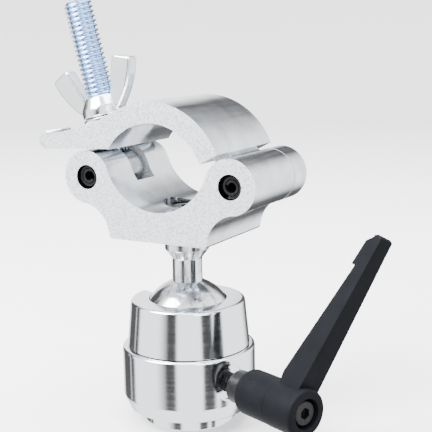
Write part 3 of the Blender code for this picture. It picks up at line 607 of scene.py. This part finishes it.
def make_upper_jaw():
    cx, cz = JAW_CX, BORE_Z - JAW_DROP
    start = math.degrees(math.atan2(-0.0001 + JAW_DROP, 0.0292 - JAW_CX))
    outer = arc(cx, cz, JAW_OUT_R, start, 112.0, 90)
    tongue = [(-0.0213, BORE_Z + 0.0148), (-0.0270, BORE_Z + 0.0119), (-0.0420, BORE_Z + 0.0072),
              (-0.0549, BORE_Z + 0.0047), (-0.0551, BORE_Z + 0.0053), (-0.0554, BORE_Z + 0.0058),
              (-0.0559, BORE_Z + 0.0061)]
    tip = arc(TONGUE_END + TONGUE_TIP_R, BORE_Z + 0.0023, TONGUE_TIP_R, 105.0, 262.0, 24)
    inner = arc(cx, cz, JAW_IN_R, 148.0, 22.3, 96)
    jaw = plate("jaw_bridge", [*outer, *tongue, *tip, (-0.0234, BORE_Z - 0.0002), *inner], HALF)
    neck_half = KNUCKLE_HALF - GAP
    neck = plate("neck", [(0.0190, BORE_Z - 0.0014), (0.0262, BORE_Z + 0.0010), (0.0290, BORE_Z - 0.0018),
                          (0.0330, BORE_Z - 0.0040), (0.0300, BORE_Z - 0.0150), (0.0234, BORE_Z - 0.0140),
                          (0.0228, BORE_Z - 0.0100), (0.0216, BORE_Z - 0.0046)], neck_half)
    join(jaw, neck, on_pin("knuckle", EAR_R - 0.0001, RIGHT_PIN, neck_half, 120))
    root, past_tip = SLOT_ROOT - SLOT_HALF, -0.0800
    slot = plate("tongue_slot", [*arc(root, 0.0, SLOT_HALF, -90.0, 90.0, 36), (past_tip, SLOT_HALF),
                                 (past_tip, -SLOT_HALF)], 0.0300)
    slot.data.transform(Matrix.Translation((0.0, 0.0, BORE_Z)) @ Matrix.Rotation(math.radians(-90.0), 4, "X"))
    cut(jaw, slot, on_pin("pin_hole", PIN_R + GAP, RIGHT_PIN, 0.03, 64))
    bevel(jaw, EDGE_BREAK, 2, 38.0)
    mark_end_faces(jaw)
    finish(jaw, [SKIN, SAWN], "jaw", ["upper_jaw"], 25.0)


def coil_outline(centre, first_turn):
    """A strip rolled up one and three quarter turns, from the outside inwards."""
    strip, count = 0.00105, 96
    total = math.radians(630.0)
    outer, inner = [], []
    for i in range(count + 1):
        angle = total * i / count
        radius = PIN_R - (strip + GAP) * angle / (2 * math.pi)
        turn = first_turn + angle
        outer.append((centre.x + radius * math.cos(turn), centre.z + radius * math.sin(turn)))
        inner.append((centre.x + (radius - strip) * math.cos(turn),
                      centre.z + (radius - strip) * math.sin(turn)))
    return [*outer, *reversed(inner)]


def make_spring_pin(name, node, centre, first_degrees):
    pin = plate(name, coil_outline(centre, math.radians(first_degrees)), HALF - 0.0016)
    bevel(pin, 0.00016, 2, 50.0)
    finish(pin, BLACK, "clamp", [node], 30.0)


def make_saddle_screw():
    low, high = BORE_Z - HEAD_DROP, BORE_Z - 0.0262
    head_r, socket_r, shank_r, shank_end = 0.0066, 0.0024, 0.0040, 0.0678
    profile = [(0.0, low + 0.0012), (socket_r, low + 0.0020), (socket_r, high), (0.0060, high),
               (head_r, high - 0.0006), (head_r, low), (shank_r, low), (shank_r, shank_end + 0.0008),
               (0.0032, shank_end), (0.0, shank_end)]
    screw = turned("saddle_screw_head", profile, 64)
    finish(screw, BLACK, "clamp", ["saddle_screw"])


def make_lock_washer():
    outer_r, inner_r = 0.0084, 0.0043
    low, high = BORE_Z - RECESS_DROP + GAP, BORE_Z - HEAD_DROP - GAP
    profile = rounded([(outer_r, high), (outer_r, low), (inner_r, low), (inner_r, high)], 0.0003, (0, 1), 3)
    washer = turned("recess_washer", profile, 64)
    finish(washer, BRIGHT_ZINC, "clamp", ["lock_washer"])


# ---------------------------------------------------------------- threads
def thread_bar(name, crest, root, pitch, low, high):
    """A long helical screw thread about Z, closed at both ends, to be trimmed to length."""
    steps, rows = 48, 10
    flank = [(0.00, root), (0.10, root), (0.42, crest), (0.58, crest), (0.90, root), (1.00, root)]

    def height(phase):
        for (a, ra), (b, rb) in zip(flank, flank[1:]):
            if phase <= b:
                return ra + (rb - ra) * (phase - a) / (b - a)
        return root

    turns = int((high - low) / pitch) + 3
    count = turns * rows
    first_z = low - pitch * 1.5
    shape = bmesh.new()
    grid = []
    for j in range(count + 1):
        radius = height((j % rows) / rows)
        ring = []
        for i in range(steps):
            angle = 2 * math.pi * i / steps
            z = first_z + pitch * (j / rows + i / steps)
            ring.append(shape.verts.new((radius * math.cos(angle), radius * math.sin(angle), z)))
        grid.append(ring)
    for j in range(count):
        for i in range(steps - 1):
            shape.faces.new((grid[j][i], grid[j][i + 1], grid[j + 1][i + 1], grid[j + 1][i]))
    last = steps - 1
    for j in range(count - rows):
        shape.faces.new((grid[j][last], grid[j + rows][0], grid[j + rows + 1][0], grid[j + 1][last]))
    lower = [*grid[0], *(grid[j][0] for j in range(rows, 0, -1))]
    upper = [*(grid[count - rows + k][last] for k in range(rows)), *reversed(grid[count])]
    for ring, z in ((lower, low - pitch * 2.2), (upper, first_z + pitch * (count / rows + 1.7))):
        hub = shape.verts.new((0.0, 0.0, z))
        for k, vert in enumerate(ring):
            shape.faces.new((vert, ring[(k + 1) % len(ring)], hub))
    bmesh.ops.recalc_face_normals(shape, faces=shape.faces)
    return from_bmesh(name, shape)


def threaded(name, crest, root, pitch, low, high, chamfer, smooth_to=None):
    """A threaded bar with chamfered ends; below smooth_to it is a plain shank."""
    bar = thread_bar(name, crest, root, pitch, low, high)
    clear = crest + 0.0002
    envelope = turned(name + "_trim", [(0.0, high), (crest - chamfer, high), (clear, high - chamfer),
                                       (clear, low + chamfer), (crest - chamfer, low), (0.0, low)], 96)
    combine(bar, "INTERSECT", envelope)
    if smooth_to is not None:
        join(bar, cylinder(name + "_shank", crest, (0, 0, low), (0, 0, smooth_to), 64))
    return bar


def make_swing_bolt():
    bolt = threaded("eye_bolt", BOLT_R, BOLT_R - THREAD_DEPTH, PITCH, 0.0068, BOLT_LENGTH, 0.0012, 0.0180)
    lay(bolt, LEFT_PIN, BOLT_DIR)
    eye = on_pin("eye", EYE_R, LEFT_PIN, EYE_HALF, 96)
    bevel(eye, 0.0014, 4, 50.0)
    join(bolt, eye)
    cut(bolt, on_pin("eye_hole", PIN_R + GAP, LEFT_PIN, 0.02, 64))
    for face in bolt.data.polygons:
        bare = (face.center - LEFT_PIN).dot(BOLT_DIR) < EYE_R + BARE_NECK
        face.material_index = 1 if bare else 0
    finish(bolt, [BLUE_ZINC, DULL_STEEL], "bolt", ["swing_bolt"], 30.0)


# ---------------------------------------------------------------- washer and wing nut
def make_washer():
    hole_r = BOLT_R + 0.0004
    profile = rounded([(WASHER_R, WASHER_T), (WASHER_R, 0.0), (hole_r, 0.0), (hole_r, WASHER_T)],
                      0.0005, (0, 1), 4)
    washer = turned("flat_washer", profile, 96)
    lay(washer, on_bolt(SEAT_D), BOLT_DIR)
    finish(washer, BRIGHT_ZINC, "washer", ["washer"])


def wing_outline(side):
    """One wing, as (distance from the axis, height): up its outer edge and down its inner one."""
    points = [(0.0080, 0.0010), (0.0108, 0.0022), (0.0142, 0.0055), (0.0175, 0.0092), (0.0208, 0.0143),
              (0.0228, 0.0186), (0.0234, 0.0204), (0.0222, 0.0216), (0.0152, 0.0242), (0.0138, 0.0238),
              (0.0113, 0.0176), (0.0094, 0.0128), (0.0078, 0.0092)]
    return [(side * s, h) for s, h in points]


def make_wing_nut():
    top_r, cone_low, core_r = 0.0072, 0.0036, 0.0050
    profile = rounded([(top_r, NUT_H), (NUT_R, cone_low), (NUT_R, 0.0), (core_r, 0.0), (core_r, NUT_H)],
                      0.0010, (0, 1, 2), 5)
    nut = turned("wing_nut_body", profile, 72)
    for side in (-1.0, 1.0):
        wing = plate("wing", wing_outline(side), WING_HALF)
        bevel(wing, 0.0013, 3, 25.0)
        join(nut, wing)
    remesh = nut.modifiers.new("remesh", "REMESH")
    remesh.mode = "VOXEL"
    remesh.voxel_size = 0.00042
    relax = nut.modifiers.new("relax", "SMOOTH")
    relax.factor = 0.5
    relax.iterations = 6
    bake(nut)
    cut(nut, cylinder("nut_hole", BOLT_R + GAP, (0, 0, -0.01), (0, 0, 0.03), 64))
    turn = Matrix.Rotation(-BOLT_LEAN, 4, "Y") @ Matrix.Rotation(-NUT_TURN, 4, "Z")
    nut.data.transform(Matrix.Translation(on_bolt(NUT_D)) @ turn)
    finish(nut, BRIGHT_ZINC, "nut", ["wing_nut"], 40.0)


# ---------------------------------------------------------------- lever
def make_lever_stud():
    stud = threaded("locking_screw", STUD_R, STUD_R - 0.00070, STUD_PITCH, 0.0215, 0.0372, 0.0006)
    lay(stud, on_lever(0.0), LEVER_DIR)
    finish(stud, BLACK, "lever", ["lever_stud"], 30.0)


def make_lever_collar():
    bore_r, stud_end = STUD_R + GAP, 0.0378
    core_r, tap_r, core_end = 0.0052, 0.0028, 0.0548
    profile = rounded([(tap_r, core_end), (core_r, core_end), (core_r, HUB_D - GAP),
                       (COLLAR_R, HUB_D - GAP), (COLLAR_R, COLLAR_D), (bore_r, COLLAR_D),
                       (bore_r, stud_end), (tap_r, stud_end)], 0.0006, (3, 4), 4)
    collar = turned("steel_collar", profile, 80)
    lay(collar, on_lever(0.0), LEVER_DIR)
    finish(collar, BLACK, "lever", ["lever_collar"])


def make_lever_screw():
    head_r, head_low, head_top = 0.0053, 0.0694, 0.0734
    shank_r, shank_end = 0.0025, 0.0388
    profile = [(0.0, head_top), (0.0046, head_top), (0.0050, 0.0731), (head_r, 0.0726),
               (head_r, head_low), (shank_r, head_low), (shank_r, shank_end), (0.0, shank_end)]
    screw = turned("retaining_screw", profile, 72)
    lay(screw, on_lever(0.0), LEVER_DIR)
    shape = bmesh.new()
    bmesh.ops.create_cone(shape, cap_ends=True, segments=6, radius1=0.0024, radius2=0.0024, depth=0.0060)
    socket = from_bmesh("hex_socket", shape)
    lay(socket, on_lever(0.0741), LEVER_DIR)
    cut(screw, socket)
    bevel(screw, 0.00015, 2, 40.0)
    finish(screw, BLACK, "lever", ["lever_screw"])


def make_hub():
    inner_r, spring_r, spring_floor = 0.0056, 0.0074, 0.0551
    profile = rounded([(HUB_R, HEAD_D - GAP), (HUB_R, HUB_D), (inner_r, HUB_D), (inner_r, spring_floor),
                       (spring_r, spring_floor), (spring_r, HEAD_D - GAP)], 0.0022, (1,), 8)
    profile = rounded(profile, 0.0003, (0,), 3)
    hub = turned("hub_sleeve", profile, 96)
    lay(hub, on_lever(0.0), LEVER_DIR)
    finish(hub, COAT, "lever", ["lever_hub"])


def arm_section(along, depth, inset=0.0, proud=0.0):
    """Four corners across the arm; inset draws its edges in and proud raises its inner face."""
    half = ARM_HALF - ARM_TAPER * along - inset
    return [Vector((-half, -depth - proud, along)), Vector((half, -depth - proud, along)),
            Vector((half, -inset, along)), Vector((-half, -inset, along))]


def arm_depth(along):
    return ARM_ROOT_DEPTH - ARM_DEPTH_TAPER * along


def loft(name, sections):
    shape = bmesh.new()
    rings = [[shape.verts.new(corner) for corner in section] for section in sections]
    sides = len(sections[0])
    for lower, upper in zip(rings, rings[1:]):
        for i in range(sides):
            j = (i + 1) % sides
            shape.faces.new((lower[i], lower[j], upper[j], upper[i]))
    shape.faces.new(list(reversed(rings[0])))
    shape.faces.new(rings[-1])
    bmesh.ops.recalc_face_normals(shape, faces=shape.faces)
    return from_bmesh(name, shape)


def arm_frame():
    """The arm's own axes: sideways, outward and along."""
    upright = Vector((0.0, 0.0, 1.0)) * math.cos(ARM_TURN) + LEVER_SIDE * math.sin(ARM_TURN)
    along = upright * math.cos(ARM_FLARE) + LEVER_DIR * math.sin(ARM_FLARE)
    sideways = along.cross(LEVER_DIR).normalized()
    outward = sideways.cross(along).normalized()
    return Matrix((sideways, outward, along)).transposed().to_4x4()


def make_handle():
    root, top, edge = 0.0034, ARM_LENGTH, 0.0008
    arm = loft("arm", [arm_section(root, arm_depth(root)), arm_section(top - edge, arm_depth(top)),
                       arm_section(top, arm_depth(top) - edge, edge)])
    low = top - 0.0148
    pad = loft("pad", [arm_section(low, 0.0046, 0.0006, 0.0033),
                       arm_section(top - 0.0042, 0.0046, 0.0006, 0.0024),
                       arm_section(top - 0.0006, 0.0042, 0.0010, -0.0004)])
    join(arm, pad)
    arm.data.transform(Matrix.Translation(on_lever(ARM_D)) @ arm_frame())
    cut(arm, cylinder("trim", 0.0500, on_lever(HEAD_D - 0.0300), on_lever(HEAD_D + 0.0012), 48))
    head_r = HUB_R + 0.0002
    profile = rounded([(0.0, LEVER_END_D), (head_r, LEVER_END_D), (head_r, HEAD_D), (0.0, HEAD_D)],
                      0.0016, (1,), 8)
    head = turned("lever_arm", profile, 96)
    lay(head, on_lever(0.0), LEVER_DIR)
    neck = cylinder("neck_teeth", 0.0068, on_lever(0.0555), on_lever(0.0610), 48)
    join(head, arm, neck)
    cut(head, cylinder("screw_bore", 0.0032, on_lever(0.0500), on_lever(0.0640), 48),
        cylinder("counterbore", 0.0062, on_lever(0.0612), on_lever(0.0900), 72))
    bevel(head, 0.00045, 3, 32.0)
    finish(head, COAT, "handle", ["lever_handle"], 30.0)


def dress_hidden_nodes():
    """Inner parts keep their CAD shape and get a finish."""
    for node, material in (("upper_seat", NYLON), ("lower_seat", BRASS), ("disc_spring", BLACK),
                           ("pressure_pad", BRASS), ("lever_spring", SPRING)):
        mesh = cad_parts[node].data
        mesh.materials.clear()
        mesh.materials.append(material)


make_housing()
make_base_plug()
make_cap()
make_ball_stud()
make_saddle()
make_upper_jaw()
make_spring_pin("hinge_spring_pin", "hinge_pin", RIGHT_PIN, 250.0)
make_spring_pin("bolt_spring_pin", "bolt_pin", LEFT_PIN, 60.0)
make_saddle_screw()
make_lock_washer()
make_swing_bolt()
make_washer()
make_wing_nut()
make_lever_stud()
make_lever_collar()
make_lever_screw()
make_hub()
make_handle()
dress_hidden_nodes()


# ---------------------------------------------------------------- camera, light and floor
# Dark gaps between the studio's light panels, in degrees of bearing from +X: where the light
# starts to fall, where it is down, where it starts to rise, where it is back, and what is left.
DARK_GAPS = ((-179.5, -179.0, -170.0, -164.0, 0.05), (-118.0, -98.0, -84.0, -79.0, 0.04),
             (-37.0, -33.0, -16.0, -11.0, 0.035), (-6.0, -3.5, 6.0, 9.0, 0.05),
             (68.0, 90.0, 112.0, 120.0, 0.05), (144.0, 151.0, 179.0, 179.5, 0.05))
FLOOR_GAP = (52.0, 62.0, 104.0, 114.0, 0.10)
LIGHT_LEVEL = 1.0
CEILING = (0.95, 0.96, 0.98, 1.0)
LAMP_TARGET = (0.0, 0.0, 0.08)
# sockets of a Mix node that carry colours
MIX_FIRST, MIX_SECOND, MIX_RESULT = 6, 7, 2


def make_camera():
    """A long lens a little above the clamp, 30 degrees round from the front and looking down 11."""
    place = (0.21515, -0.35414, BORE_Z + 0.04808)
    azimuth, elevation, roll = math.radians(29.535), math.radians(10.577), math.radians(-0.84)
    back = Vector((math.sin(azimuth) * math.cos(elevation), -math.cos(azimuth) * math.cos(elevation),
                   math.sin(elevation)))
    right = Vector((math.cos(azimuth), math.sin(azimuth), 0.0))
    up = back.cross(right)
    across = right * math.cos(roll) + up * math.sin(roll)
    above = up * math.cos(roll) - right * math.sin(roll)
    turn = Matrix((across, above, back)).transposed().to_4x4()
    data = bpy.data.cameras.new("camera")
    data.lens = 81.3
    data.sensor_width = 36.0
    data.shift_x = 0.0012
    data.shift_y = -0.0097
    data.clip_start = 0.01
    data.clip_end = 20.0
    camera = bpy.data.objects.new("camera", data)
    camera.matrix_world = Matrix.Translation(place) @ turn
    SCENE.objects.link(camera)
    bpy.context.scene.camera = camera


def area_light(name, location, size, power):
    data = bpy.data.lights.new(name, "AREA")
    data.shape = "RECTANGLE"
    data.size, data.size_y = size
    data.energy = power
    data.color = (1.0, 1.0, 1.0)
    lamp = bpy.data.objects.new(name, data)
    aim = (Vector(LAMP_TARGET) - Vector(location)).to_track_quat("-Z", "Y").to_matrix().to_4x4()
    lamp.matrix_world = Matrix.Translation(location) @ aim
    SCENE.objects.link(lamp)


def bearing_ramp(tree, bearing, gaps):
    """Brightness by bearing: the light level, with soft-edged dark gaps."""
    ramp = tree.nodes.new("ShaderNodeValToRGB")
    stops = []
    for fall, down, rise, back, dark in gaps:
        stops += [(fall, LIGHT_LEVEL), (down, dark), (rise, dark), (back, LIGHT_LEVEL)]
    elements = ramp.color_ramp.elements
    while len(elements) < len(stops):
        elements.new(0.5)
    for element, (degrees, value) in zip(elements, sorted(stops)):
        element.position = (degrees + 180.0) / 360.0
        element.color = (value, value, value, 1.0)
    tree.links.new(bearing, ramp.inputs["Fac"])
    return ramp.outputs["Color"]


def make_world():
    """White studio: upright light panels with dark gaps, a pale ceiling, a dark patch low behind."""
    world = bpy.data.worlds.new("studio")
    world.use_nodes = True
    tree = world.node_tree
    coords = tree.nodes.new("ShaderNodeTexCoord")
    split = tree.nodes.new("ShaderNodeSeparateXYZ")
    tree.links.new(coords.outputs["Generated"], split.inputs["Vector"])
    around = tree.nodes.new("ShaderNodeMath")
    around.operation = "ARCTAN2"
    tree.links.new(split.outputs["Y"], around.inputs[0])
    tree.links.new(split.outputs["X"], around.inputs[1])
    bearing = tree.nodes.new("ShaderNodeMapRange")
    bearing.inputs["From Min"].default_value = -math.pi
    bearing.inputs["From Max"].default_value = math.pi
    tree.links.new(around.outputs["Value"], bearing.inputs["Value"])
    colour = bearing_ramp(tree, bearing.outputs["Result"], DARK_GAPS)
    below = bearing_ramp(tree, bearing.outputs["Result"], (FLOOR_GAP,))
    for edge, full, other in ((0.45, 0.75, CEILING), (-0.42, -0.62, below)):
        blend = tree.nodes.new("ShaderNodeMapRange")
        blend.inputs["From Min"].default_value = edge
        blend.inputs["From Max"].default_value = full
        tree.links.new(split.outputs["Z"], blend.inputs["Value"])
        mix = tree.nodes.new("ShaderNodeMix")
        mix.data_type = "RGBA"
        tree.links.new(blend.outputs["Result"], mix.inputs["Factor"])
        tree.links.new(colour, mix.inputs[MIX_FIRST])
        if isinstance(other, tuple):
            mix.inputs[MIX_SECOND].default_value = other
        else:
            tree.links.new(other, mix.inputs[MIX_SECOND])
        colour = mix.outputs[MIX_RESULT]
    shade = tree.nodes["Background"]
    tree.links.new(colour, shade.inputs["Color"])
    shade.inputs["Strength"].default_value = 2.6
    bpy.context.scene.world = world


def make_floor():
    """Pale paper floor that curves up into a round backdrop; it is seen but not mirrored."""
    mesh = bpy.data.meshes.new("floor")
    shape = bmesh.new()
    floor_r, rise_r, top, steps = 1.4, 0.6, 2.6, 128
    profile = [(0.4, 0.0), (0.9, 0.0)]
    profile += [(floor_r + rise_r * math.sin(math.radians(a)), rise_r - rise_r * math.cos(math.radians(a)))
                for a in range(0, 91, 6)]
    profile.append((floor_r + rise_r, top))
    rings = []
    for radius, height in profile:
        angles = [2 * math.pi * i / steps for i in range(steps)]
        rings.append([shape.verts.new((radius * math.cos(a), radius * math.sin(a), height)) for a in angles])
    shape.faces.new(rings[0])
    for lower, upper in zip(rings, rings[1:]):
        for i in range(steps):
            j = (i + 1) % steps
            shape.faces.new((lower[j], lower[i], upper[i], upper[j]))
    shape.to_mesh(mesh)
    shape.free()
    mesh.shade_smooth()
    floor = bpy.data.objects.new("floor", mesh)
    floor.location.z = -0.0002
    SCENE.objects.link(floor)
    mat = bpy.data.materials.new("floor_paper")
    mat.use_nodes = True
    shader = mat.node_tree.nodes["Principled BSDF"]
    shader.inputs["Base Color"].default_value = (0.95, 0.95, 0.95, 1.0)
    shader.inputs["Roughness"].default_value = 0.9
    shader.inputs["Specular IOR Level"].default_value = 0.1
    mesh.materials.append(mat)
    floor.visible_glossy = False
    floor.visible_diffuse = False
    floor.visible_shadow = False


make_camera()
make_world()
make_floor()
area_light("key", (-0.5, -0.7, 0.9), (0.7, 0.7), 48.0)
area_light("fill", (0.8, -0.5, 0.5), (0.5, 0.8), 5.0)
area_light("top", (0.0, 0.1, 1.1), (0.9, 0.9), 30.0)
